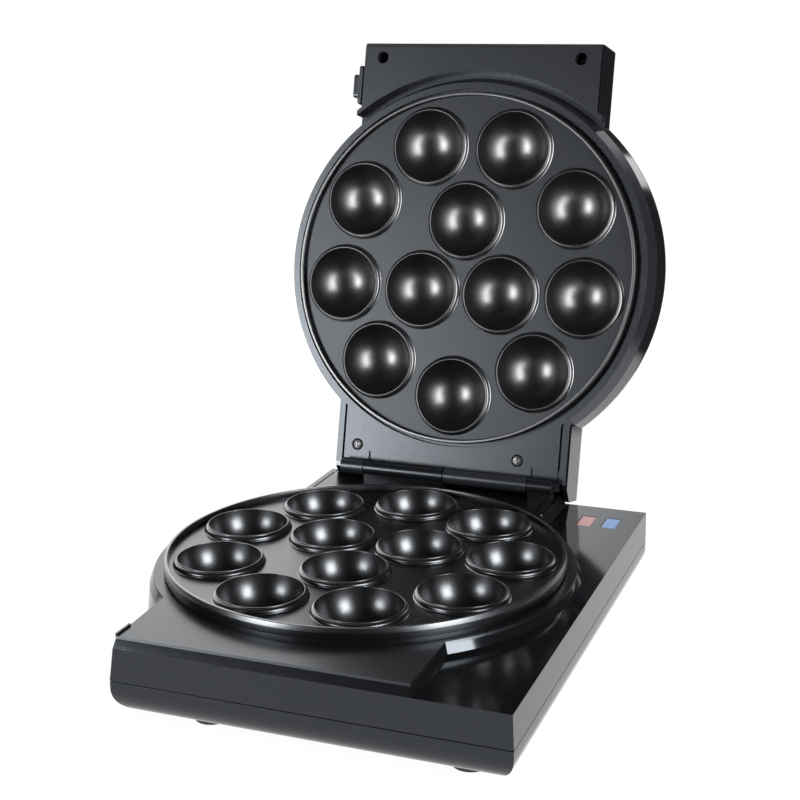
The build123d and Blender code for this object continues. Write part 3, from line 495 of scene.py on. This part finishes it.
def rounded(profile, radius, corners, steps=4):
    """The closed profile with some corners, by number, replaced by short arcs."""
    out = []
    count = len(profile)
    for i, point in enumerate(profile):
        if i not in corners:
            out.append(point)
            continue
        here = Vector(point)
        before = (Vector(profile[i - 1]) - here).normalized()
        after = (Vector(profile[(i + 1) % count]) - here).normalized()
        half = before.angle(after) / 2
        reach = radius / math.tan(half)
        centre = here + (before + after).normalized() * (radius / math.sin(half))
        start = here + before * reach - centre
        end = here + after * reach - centre
        for step in range(steps + 1):
            mid = start.lerp(end, step / steps).normalized() * radius
            out.append(tuple(centre + mid))
    return out


# ---- baking plates ----------------------------------------------------------------------


PAN_EDGE = [
    (89.6, -3.0), (89.9, 0.0), (91.3, 0.0), (91.8, -2.17), (91.8, -5.2),
    (90.8, -5.2), (90.8, -6.5), (89.6, -6.5), (89.6, -5.2),
]
CUP_SKIRT = [
    (19.3, -0.5), (19.75, -0.7), (20.15, -1.0), (20.45, -1.45), (20.6, -1.95), (20.55, -2.25),
    (20.4, -2.4), (20.45, -2.6), (20.7, -2.8), (21.0, -3.0),
]


def plate_floor(sizes, turns=192, cup_turns=72):
    """The pan of a plate: a floor with a hole for each cup, inside a raised perimeter rim."""
    shape = bmesh.new()
    floor, under = -3.0 * MM, -5.2 * MM
    outside = rounded(PAN_EDGE, 0.35, {1, 2, 3, 4}, 4)
    rings = []
    for step in range(turns):
        angle = 2 * math.pi * step / turns
        rings.append([
            shape.verts.new((r * MM * math.cos(angle), r * MM * math.sin(angle), z * MM))
            for r, z in outside
        ])
    for step in range(turns):
        here, following = rings[step], rings[(step + 1) % turns]
        for i in range(len(outside) - 1):
            shape.faces.new((here[i], following[i], following[i + 1], here[i + 1]))
    holes = []
    circles = (
        (sizes.outer_circle, sizes.outer_cups, math.pi / sizes.outer_cups - math.pi / 2),
        (sizes.inner_circle, sizes.inner_cups, -math.pi / 2),
    )
    for height, edge_column, hole in ((floor, 0, 20.9 * MM), (under, len(outside) - 1, 20.2 * MM)):
        edges = [
            shape.edges.get((rings[s][edge_column], rings[(s + 1) % turns][edge_column]))
            for s in range(turns)
        ]
        level = []
        for circle, cups, start in circles:
            for cup in range(cups):
                turn = start + 2 * math.pi * cup / cups
                cx, cy = circle * math.cos(turn), circle * math.sin(turn)
                loop = [
                    shape.verts.new((
                        cx + hole * math.cos(2 * math.pi * k / cup_turns),
                        cy + hole * math.sin(2 * math.pi * k / cup_turns),
                        height,
                    ))
                    for k in range(cup_turns)
                ]
                edges += [shape.edges.new((loop[k], loop[(k + 1) % cup_turns])) for k in range(cup_turns)]
                level.append(loop)
        bmesh.ops.triangle_fill(shape, edges=edges, use_beauty=True, use_dissolve=False)
        holes.append(level)
    for top, bottom in zip(*holes):
        for k in range(cup_turns):
            j = (k + 1) % cup_turns
            shape.faces.new((top[k], top[j], bottom[j], bottom[k]))
    bmesh.ops.recalc_face_normals(shape, faces=shape.faces)
    mesh = bpy.data.meshes.new("plate_floor")
    shape.to_mesh(mesh)
    shape.free()
    # The top of the perimeter rim is polished like the cups.
    polish = mesh.attributes.new("polish", "FLOAT", "POINT")
    polish.data.foreach_set(
        "value",
        [1.0 if v.co.z > -1.5 * MM and v.co.xy.length > 89.0 * MM else 0.0 for v in mesh.vertices],
    )
    return mesh


def cup_shape(sizes):
    """One cup: a half-round hollow with a rounded crest and a thick wall."""
    hollow = sizes.cavity / MM
    outer = hollow + sizes.wall / MM
    profile = [
        (hollow * math.sin(a), -hollow * math.cos(a))
        for a in (math.pi / 2 * k / 28 for k in range(28))
    ]
    rim = rounded([(hollow, -2.0), (hollow, 0.0), (hollow + 0.45, 0.0), CUP_SKIRT[0]], 0.16, {1, 2}, 3)
    profile += [(hollow, -0.6)] + rim[1:] + CUP_SKIRT[1:]
    start = math.asin(3.0 / outer)
    profile += [
        (outer * math.cos(a), -outer * math.sin(a))
        for a in (start + (math.pi / 2 - start) * k / 16 for k in range(1, 17))
    ]
    profile = [(max(r, 0.0) * MM, z * MM) for r, z in profile]
    profile[-1] = (0.0, profile[-1][1])
    mesh = lathed(profile, 80, "cup")
    polish = mesh.attributes.new("polish", "FLOAT", "POINT")
    polish.data.foreach_set("value", [1.0] * len(mesh.vertices))
    smooth(mesh, 40)
    return mesh


def ring_of_cups_tree():
    """Places a cup on each point of two circles and joins them to the pan."""
    tree = bpy.data.node_groups.new("Cups on two circles", "GeometryNodeTree")
    face = tree.interface
    face.new_socket("Geometry", in_out="OUTPUT", socket_type="NodeSocketGeometry")
    for name, kind in (
        ("Geometry", "NodeSocketGeometry"),
        ("Cup", "NodeSocketObject"),
        ("Outer cups", "NodeSocketInt"),
        ("Outer circle", "NodeSocketFloat"),
        ("Inner cups", "NodeSocketInt"),
        ("Inner circle", "NodeSocketFloat"),
        ("Coating", "NodeSocketMaterial"),
    ):
        face.new_socket(name, in_out="INPUT", socket_type=kind)
    nodes, link = tree.nodes, tree.links.new
    given = nodes.new("NodeGroupInput")
    out = nodes.new("NodeGroupOutput")
    cup = nodes.new("GeometryNodeObjectInfo")
    link(given.outputs["Cup"], cup.inputs["Object"])
    join = nodes.new("GeometryNodeJoinGeometry")
    link(given.outputs["Geometry"], join.inputs[0])
    for ring, half_step in (("Outer", True), ("Inner", False)):
        circle = nodes.new("GeometryNodeMeshCircle")
        link(given.outputs[f"{ring} cups"], circle.inputs["Vertices"])
        link(given.outputs[f"{ring} circle"], circle.inputs["Radius"])
        turn = nodes.new("GeometryNodeTransform")
        link(circle.outputs[0], turn.inputs["Geometry"])
        whole = math.pi / 9 if half_step else 0.0
        turn.inputs["Rotation"].default_value = (0.0, 0.0, whole - math.pi / 2)
        place = nodes.new("GeometryNodeInstanceOnPoints")
        link(turn.outputs[0], place.inputs["Points"])
        link(cup.outputs["Geometry"], place.inputs["Instance"])
        link(place.outputs[0], join.inputs[0])
    realize = nodes.new("GeometryNodeRealizeInstances")
    coat = nodes.new("GeometryNodeSetMaterial")
    link(join.outputs[0], realize.inputs[0])
    link(realize.outputs[0], coat.inputs["Geometry"])
    link(given.outputs["Coating"], coat.inputs["Material"])
    link(coat.outputs[0], out.inputs[0])
    return tree


def with_nodes(obj, tree, **values):
    """Adds a node modifier and sets its inputs by name before the object is evaluated."""
    modifier = obj.modifiers.new(tree.name, "NODES")
    modifier.node_group = tree
    names = {item.name: item.identifier for item in tree.interface.items_tree if item.in_out == "INPUT"}
    for name, value in values.items():
        modifier[names[name.replace("_", " ")]] = value
    return obj


class CAKEPOP_OT_baking_plates(Operator):
    """Make both baking plates with their cups"""

    bl_idname = "cakepop.baking_plates"
    bl_label = "Baking Plates"

    def execute(self, context):
        sizes, looks = context.scene.plate_sizes, context.scene.casing_looks
        tree = ring_of_cups_tree()
        cup = new_object("cup_pattern", cup_shape(sizes))
        for half, body, place, roughness, shine, coat in (
            ("lower", "base", lower_place(sizes), 0.26, 0.75, 0.5),
            ("upper", "lid", upper_place(sizes), 0.4, 0.4, 0.9),
        ):
            coating = non_stick(
                f"{half}_non_stick", looks.plate_colour, place.translation, place.col[2][:3],
                roughness, shine, coat,
            )
            pan = new_object(f"{half}_pan", plate_floor(sizes))
            smooth(pan.data, 35)
            with_nodes(
                pan, tree, Cup=cup, Outer_cups=sizes.outer_cups, Outer_circle=sizes.outer_circle,
                Inner_cups=sizes.inner_cups, Inner_circle=sizes.inner_circle, Coating=coating,
            )
            plate = baked(pan, f"{half}_plate_with_cups")
            plate.data.transform(place)
            keep_mesh(plate, body, "coated_plate", f"{half}_baking_plate")
        bpy.data.objects.remove(cup)
        return {"FINISHED"}


# ---- screws -----------------------------------------------------------------------------


def screw_shape(head_radius, head_height, shank, length):
    """A domed head with a cross recess on a plain shank; the seat is at zero, head up."""
    dome = [(0.0, head_height)]
    for k in range(1, 7):
        a = math.pi / 2 * k / 6
        dome.append((head_radius * math.sin(a), head_height * (0.45 + 0.55 * math.cos(a))))
    profile = dome + [(head_radius, 0.0), (shank, 0.0), (shank, -length), (0.0, -length)]
    mesh = lathed([(r * MM, z * MM) for r, z in profile], 40, "screw")
    body = new_object("screw_body", mesh)
    cutter = bmesh.new()
    for turn in (0, math.pi / 2):
        arm = Matrix.Translation((0, 0, head_height * MM)) @ Matrix.Rotation(turn, 4, "Z")
        arm_size = (1.5 * head_radius * MM, 0.28 * head_radius * MM, 1.3 * head_height * MM, 1)
        arm = arm @ Matrix.Diagonal(arm_size)
        made = bmesh.ops.create_cube(cutter, size=1.0, matrix=arm)
        for vert in made["verts"]:
            if vert.co.z < head_height * MM:
                vert.co.x *= 0.62
                vert.co.y *= 0.62
    cut_mesh = bpy.data.meshes.new("cross")
    cutter.to_mesh(cut_mesh)
    cutter.free()
    cross = new_object("cross", cut_mesh)
    cut = body.modifiers.new("Cross recess", "BOOLEAN")
    cut.object = cross
    cut.operation = "DIFFERENCE"
    cut.use_self = True
    shaped = baked(body, "screw_pattern")
    bpy.data.objects.remove(cross)
    smooth(shaped.data, 38)
    return shaped


def screws_tree():
    """Places a screw on each point, turned at random about its own axis."""
    tree = bpy.data.node_groups.new("Placed screws", "GeometryNodeTree")
    face = tree.interface
    face.new_socket("Geometry", in_out="OUTPUT", socket_type="NodeSocketGeometry")
    for name, kind in (
        ("Geometry", "NodeSocketGeometry"),
        ("Screw", "NodeSocketObject"),
        ("Seed", "NodeSocketInt"),
        ("Metal", "NodeSocketMaterial"),
    ):
        face.new_socket(name, in_out="INPUT", socket_type=kind)
    nodes, link = tree.nodes, tree.links.new
    given = nodes.new("NodeGroupInput")
    out = nodes.new("NodeGroupOutput")
    screw = nodes.new("GeometryNodeObjectInfo")
    link(given.outputs["Screw"], screw.inputs["Object"])
    spin = nodes.new("FunctionNodeRandomValue")
    spin.data_type = "FLOAT_VECTOR"
    spin.inputs[0].default_value = (0.0, 0.0, 0.0)
    spin.inputs[1].default_value = (0.0, 0.0, math.pi / 2)
    link(given.outputs["Seed"], spin.inputs["Seed"])
    place = nodes.new("GeometryNodeInstanceOnPoints")
    link(given.outputs["Geometry"], place.inputs["Points"])
    link(screw.outputs["Geometry"], place.inputs["Instance"])
    link(spin.outputs[0], place.inputs["Rotation"])
    realize = nodes.new("GeometryNodeRealizeInstances")
    coat = nodes.new("GeometryNodeSetMaterial")
    link(place.outputs[0], realize.inputs[0])
    link(realize.outputs[0], coat.inputs["Geometry"])
    link(given.outputs["Metal"], coat.inputs["Material"])
    link(coat.outputs[0], out.inputs[0])
    return tree


class CAKEPOP_OT_screws(Operator):
    """Make the cross-head screws of the lid and the base"""

    bl_idname = "cakepop.screws"
    bl_label = "Screws"

    def execute(self, context):
        sizes = context.scene.plate_sizes
        tree = screws_tree()
        steel = metal("blackened_steel", (0.10, 0.10, 0.105), 0.34)
        base = lower_place(sizes) @ Matrix.Translation((0, 0, -45 * MM))
        lid = lid_place(sizes)
        groups = (
            ("lid_front_screws", "lid", lid, 14.0, 2.2, 13.3, [(-54.1, -109.5), (54.1, -109.5)]),
            ("lid_rear_screws", "lid", lid, 6.4, 1.2, 13.3, [(-51.8, 97.4), (37.5, 97.4)]),
            ("base_screws", "base", base, 11.5, 2.2, 13.8,
             [(-48.0, -96.0), (-50.0, 99.0), (86.0, -70.0), (86.0, 76.0)]),
        )
        for seed, (node, body, place, seat, head, length, spots) in enumerate(groups):
            pattern = screw_shape(3.0, head, 1.5, length)
            mesh = bpy.data.meshes.new("spots")
            mesh.from_pydata([(x * MM, -y * MM, -seat * MM) for x, y in spots], [], [])
            points = with_nodes(new_object("spots", mesh), tree, Screw=pattern, Seed=seed + 3, Metal=steel)
            screws = baked(points, node.replace("screws", "cross_screws"))
            screws.data.transform(place @ Matrix.Rotation(math.pi, 4, "X"))
            keep_mesh(screws, body, "screw_steel", node)
            bpy.data.objects.remove(pattern)
        return {"FINISHED"}


# ---- casings ----------------------------------------------------------------------------


class CAKEPOP_OT_base_casing(Operator):
    """Round the edges of the base casings and give them their gloss"""

    bl_idname = "cakepop.base_casing"
    bl_label = "Base Casing"

    def execute(self, context):
        looks = context.scene.casing_looks
        gloss = moulded_plastic("base_gloss", looks.base_colour, 0.09, 0.012, True)
        for node in ("base_upper_shell", "base_lower_shell"):
            keep_mesh(softened(node, f"{node}_cover", gloss, looks.edge), "base", "base_plastic", node)
        return {"FINISHED"}


class CAKEPOP_OT_lid_casing(Operator):
    """Round the edges of the lid casings and the latch and give them their gloss"""

    bl_idname = "cakepop.lid_casing"
    bl_label = "Lid Casing"

    def execute(self, context):
        looks = context.scene.casing_looks
        satin = moulded_plastic("lid_satin", tuple(2.6 * c for c in looks.lid_colour), 0.27)
        gloss = moulded_plastic("lid_gloss", looks.lid_colour, 0.08, 0.012)
        for node, body, finish, slot in (
            ("lid_inner_shell", "lid", satin, "lid_plastic"),
            ("lid_outer_shell", "lid", gloss, "lid_plastic"),
            ("latch_escutcheon", "lid", satin, "latch_plastic"),
            ("latch_slide", "latch", satin, "latch_plastic"),
        ):
            keep_mesh(softened(node, f"{node}_cover", finish, looks.edge * 0.8), body, slot, node)
        return {"FINISHED"}


class CAKEPOP_OT_small_parts(Operator):
    """Give the lenses, feet, hinge pin and inner parts their finishes"""

    bl_idname = "cakepop.small_parts"
    bl_label = "Small Parts"

    def execute(self, context):
        looks = context.scene.casing_looks
        rubber = matte_moulding("foot_rubber", (0.02, 0.02, 0.021), 0.75)
        ceramic = matte_moulding("ceramic", (0.78, 0.74, 0.66), 0.7, 2200.0)
        moulding = matte_moulding("heatproof_moulding", (0.66, 0.61, 0.50), 0.55)
        board = matte_moulding("paper_laminate", (0.36, 0.24, 0.10), 0.5, 3000.0)
        element = metal("element_sheath", (0.24, 0.22, 0.21), 0.48)
        sheet = metal("reflector_sheet", (0.62, 0.62, 0.61), 0.30)
        pin = metal("pin_steel", (0.55, 0.55, 0.56), 0.26)
        screw = metal("screw_steel", (0.22, 0.22, 0.23), 0.36)
        spring = metal("spring_strip", (0.60, 0.60, 0.60), 0.3)
        can = metal("fuse_can", (0.72, 0.72, 0.72), 0.34)
        lamp = Finish("lamp_envelope", Roughness=0.08, Transmission_Weight=0.6)
        lamp.set(
            Base_Color=lamp.mix(lamp.noise(500.0), (0.9, 0.84, 0.78), (0.95, 0.93, 0.9)),
            Normal=lamp.bump(lamp.noise(1500.0), 0.05, 0.0002),
        )
        finishes = {
            "red_lens": tinted_lens("red_lens", looks.red),
            "blue_lens": tinted_lens("blue_lens", looks.blue),
            "cord_gland": rubber,
            "hinge_pin": pin,
            "thermostat": moulding,
            "terminal_block": moulding,
            "thermal_fuse": can,
            "fuse_clip": spring,
            "indicator_board": board,
            "indicator_lamps": lamp.material,
        }
        for corner in ("front_left", "front_right", "rear_right", "rear_left"):
            finishes[f"foot_{corner}"] = rubber
        for half in ("lower", "upper"):
            finishes[f"{half}_heating_element"] = element
            finishes[f"{half}_reflector"] = sheet
            finishes[f"{half}_element_bushes"] = ceramic
            finishes[f"{half}_plate_screws"] = screw
        for node, finish in finishes.items():
            materials = frame["nodes"][node].data.materials
            materials.clear()
            materials.append(finish)
        return {"FINISHED"}


# ---- studio -----------------------------------------------------------------------------


def rays(finish):
    """1 for rays straight from the camera or through glass, and 1 for mirrored rays."""
    path = finish.tree.nodes.new("ShaderNodeLightPath")
    camera, through, mirrored = (
        Value(finish, path.outputs[name])
        for name in ("Is Camera Ray", "Is Transmission Ray", "Is Glossy Ray")
    )
    return camera.largest(through), mirrored


class CAKEPOP_OT_studio(Operator):
    """Make the floor, the lamps, the surrounding light and the camera"""

    bl_idname = "cakepop.studio"
    bl_label = "Studio"

    def execute(self, context):
        studio = context.scene.studio_settings
        self.floor()
        self.surroundings(context, studio)
        self.lamps(studio)
        self.camera(context, studio)
        context.scene.view_settings.view_transform = "Standard"
        return {"FINISHED"}

    def floor(self):
        shape = bmesh.new()
        bmesh.ops.create_circle(shape, cap_ends=True, radius=6.0, segments=64)
        mesh = bpy.data.meshes.new("floor")
        shape.to_mesh(mesh)
        shape.free()
        finish = Finish("floor_paper", Base_Color=(0.86, 0.86, 0.86), Roughness=0.9)
        glow = finish.tree.nodes.new("ShaderNodeEmission")
        mixed = finish.tree.nodes.new("ShaderNodeMixShader")
        away = finish.distance_to((0.0, 0.0, 0.0))
        far = away.ramp(LIT_FLOOR, LIT_FLOOR + LIT_FADE)
        straight, mirrored = rays(finish)
        # Beyond its lit middle the floor is dark in gloss, but for a painted reflection of each strip lamp: a
        # band towards that lamp that glows in gloss only.
        # lamps gathers, from 0 to 1, where the floor carries the painted strip-lamp reflections.
        lamps = 0.0
        for azimuth, half in PAINTED_STRIP_SECTORS:
            turn = math.radians(azimuth)
            along = finish.node(
                "ShaderNodeVectorMath", {"operation": "DOT_PRODUCT"}, finish.place(),
                (math.cos(turn), math.sin(turn), 0.0), output="Value",
            )
            low, high = (math.cos(math.radians(half + fade)) for fade in (PAINTED_STRIP_FADE, -PAINTED_STRIP_FADE))
            lamps = (along / away).ramp(low, high) + lamps
        finish._fill(mixed.inputs[0], straight * 0.9 + mirrored * 0.97)
        # Seen in gloss: the white middle, and past it the painted glow of the strip-lamp reflections.
        shine = 1.0 - far + far * (lamps * PAINTED_STRIP_GLOW + 0.02)
        finish._fill(glow.inputs["Strength"], straight * (far * 0.1 + 1.05) + mirrored * shine)
        glow.inputs["Color"].default_value = (1, 1, 1, 1)
        finish.tree.links.new(finish.shader.outputs[0], mixed.inputs[1])
        finish.tree.links.new(glow.outputs[0], mixed.inputs[2])
        finish.tree.links.new(mixed.outputs[0], finish.output.inputs["Surface"])
        new_object("floor", mesh, finish.material)

    def surroundings(self, context, studio):
        world = bpy.data.worlds.new("studio")
        context.scene.world = world
        world.use_nodes = True
        nodes, link = world.node_tree.nodes, world.node_tree.links.new
        nodes.clear()
        out = nodes.new("ShaderNodeOutputWorld")
        light = nodes.new("ShaderNodeBackground")
        card = nodes.new("ShaderNodeBackground")
        shown = nodes.new("ShaderNodeBackground")
        light.inputs["Strength"].default_value = studio.fill
        shown.inputs["Strength"].default_value = 1.0
        for background in (light, card, shown):
            background.inputs["Color"].default_value = (1, 1, 1, 1)
        # In gloss the studio is white behind and to the left of the machine, and dark elsewhere.
        heading = nodes.new("ShaderNodeTexCoord")
        parts = nodes.new("ShaderNodeSeparateXYZ")
        link(heading.outputs["Generated"], parts.inputs[0])
        strength = None
        for axis, low, high in (("Y", 0.1, 0.3), ("X", 0.05, -0.45)):
            fade = nodes.new("ShaderNodeMapRange")
            fade.interpolation_type = "SMOOTHSTEP"
            fade.inputs["From Min"].default_value = low
            fade.inputs["From Max"].default_value = high
            link(parts.outputs[axis], fade.inputs["Value"])
            fade.inputs["To Min"].default_value = studio.front_card
            fade.inputs["To Max"].default_value = studio.back_card
            if strength is not None:
                link(strength, fade.inputs["To Max"])
            strength = fade.outputs[0]
        link(strength, card.inputs["Strength"])
        path = nodes.new("ShaderNodeLightPath")
        seen = nodes.new("ShaderNodeMath")
        seen.operation = "MAXIMUM"
        link(path.outputs["Is Camera Ray"], seen.inputs[0])
        link(path.outputs["Is Transmission Ray"], seen.inputs[1])
        for factor, under, over in (
            (path.outputs["Is Glossy Ray"], light, card),
            (seen.outputs[0], None, shown),
        ):
            mixed = nodes.new("ShaderNodeMixShader")
            link(factor, mixed.inputs[0])
            link((under or last).outputs[0], mixed.inputs[1])
            link(over.outputs[0], mixed.inputs[2])
            last = mixed
        link(last.outputs[0], out.inputs[0])

    def lamps(self, studio):
        middle = Vector((0, -0.02, 0.12))
        for name, azimuth, reach, height, width, tall, power in (
            ("strip_right", RIGHT_STRIP, 2.0, 0.65, 0.85, 1.3, studio.strip_power * 2.2),
            ("strip_left", LEFT_STRIP, 2.0, 0.39, 0.66, 0.76, studio.strip_power * 1.15),
            ("back_right", 72, 2.0, 0.9, 0.6, 0.9, studio.strip_power * 0.13),
            ("overhead", 100, 0.25, 1.25, 1.0, 1.0, studio.top_power),
        ):
            turn = math.radians(azimuth)
            spot = Vector((reach * math.cos(turn), reach * math.sin(turn), height))
            data = bpy.data.lights.new(name, "AREA")
            data.shape = "RECTANGLE"
            data.size = width
            data.size_y = tall
            data.energy = power
            lamp = bpy.data.objects.new(name, data)
            lamp.location = spot
            lamp.rotation_euler = (middle - spot).to_track_quat("-Z", "Y").to_euler()
            lamp.visible_glossy = name != "overhead"
            bpy.context.scene.collection.objects.link(lamp)

    def camera(self, context, studio):
        data = bpy.data.cameras.new("camera")
        data.sensor_width = 36.0
        data.lens = studio.lens
        data.clip_start = 0.01
        camera = bpy.data.objects.new("camera", data)
        context.scene.collection.objects.link(camera)
        forward = Vector((
            -math.sin(studio.yaw) * math.cos(studio.pitch),
            math.cos(studio.yaw) * math.cos(studio.pitch),
            -math.sin(studio.pitch),
        ))
        level = Vector((math.cos(studio.yaw), math.sin(studio.yaw), 0))
        rise = level.cross(forward)
        c, s = math.cos(studio.roll), math.sin(studio.roll)
        right = level * c + rise * s
        up = rise * c - level * s
        turned = Matrix((right, up, -forward)).transposed().to_4x4()
        camera.matrix_world = Matrix.Translation(studio.camera_place) @ turned
        context.scene.camera = camera


# ---- panel and start ----------------------------------------------------------------------


STEPS = (
    CAKEPOP_OT_base_casing,
    CAKEPOP_OT_lid_casing,
    CAKEPOP_OT_baking_plates,
    CAKEPOP_OT_screws,
    CAKEPOP_OT_small_parts,
    CAKEPOP_OT_studio,
)


class CAKEPOP_PT_panel(Panel):
    """The steps that dress the machine"""

    bl_label = "Cake Pop Maker"
    bl_idname = "CAKEPOP_PT_panel"
    bl_space_type = "VIEW_3D"
    bl_region_type = "UI"
    bl_category = "Cake Pop"

    def draw(self, context):
        for step in STEPS:
            self.layout.operator(step.bl_idname)


GROUPS = (
    ("plate_sizes", PlateSizes),
    ("casing_looks", CasingLooks),
    ("studio_settings", StudioSettings),
)


def register():
    for name, group in GROUPS:
        bpy.utils.register_class(group)
        setattr(bpy.types.Scene, name, PointerProperty(type=group))
    for item in (*STEPS, CAKEPOP_PT_panel):
        bpy.utils.register_class(item)


def unregister():
    for item in reversed((*STEPS, CAKEPOP_PT_panel)):
        bpy.utils.unregister_class(item)
    for name, group in reversed(GROUPS):
        delattr(bpy.types.Scene, name)
        bpy.utils.unregister_class(group)


def main():
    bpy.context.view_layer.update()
    register()
    for step in STEPS:
        group, action = step.bl_idname.split(".")
        getattr(getattr(bpy.ops, group), action)()


if __name__ == "__main__":
    main()
